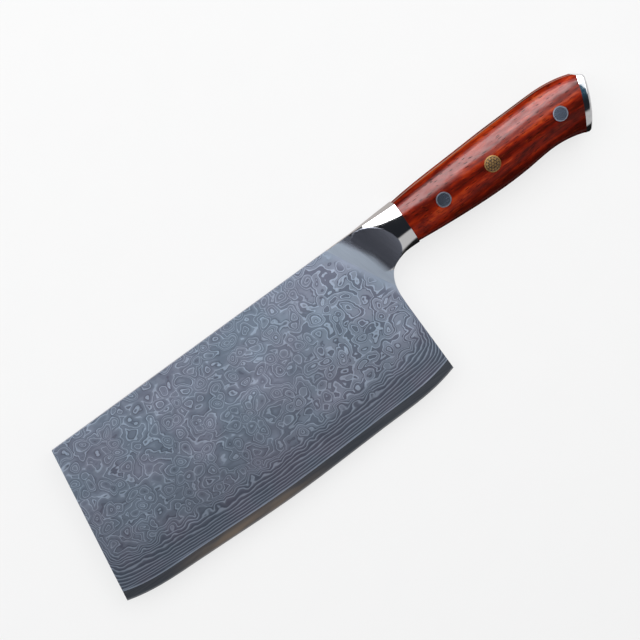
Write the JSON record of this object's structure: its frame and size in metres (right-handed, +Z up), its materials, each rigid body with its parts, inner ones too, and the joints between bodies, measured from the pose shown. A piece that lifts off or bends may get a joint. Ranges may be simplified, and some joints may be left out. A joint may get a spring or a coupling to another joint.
{
  "type": "chinese cleaver",
  "caption": "Wide rectangular vegetable cleaver with a laminated ring-pattern blade, scooped polished bolster, pinned rosewood scales and a steel end cap.",
  "frame": {"origin": "centre of the knife's box in plan, at the height of the surface that it lies on", "axes": "+X along the cutting edge's chord from toe to butt, +Y from the edge to the spine, +Z up, out of the blade's near face"},
  "size_m": [0.299, 0.0866, 0.0196],
  "materials": {
    "core_steel": "dark satin, ground",
    "layered_steel": "etched layered steel, ring pattern",
    "polished_steel": "mirror polish, satin in the scoop",
    "tang_steel": "ground",
    "rosewood": "oiled and buffed, glossy",
    "pin_steel": "polished",
    "brass": "polished",
    "resin": "polished dark resin"
  },
  "bodies": {
    "root": {"blade_core": "core_steel", "cladding_near": "layered_steel", "cladding_far": "layered_steel", "bolster": "polished_steel", "tang": "tang_steel", "scale_near": "rosewood", "scale_far": "rosewood", "end_cap": "polished_steel", "front_pin": "pin_steel", "rear_pin": "pin_steel", "mosaic_tube": "brass", "mosaic_filler": "resin", "mosaic_rods": "brass"}
  },
  "joints": []
}
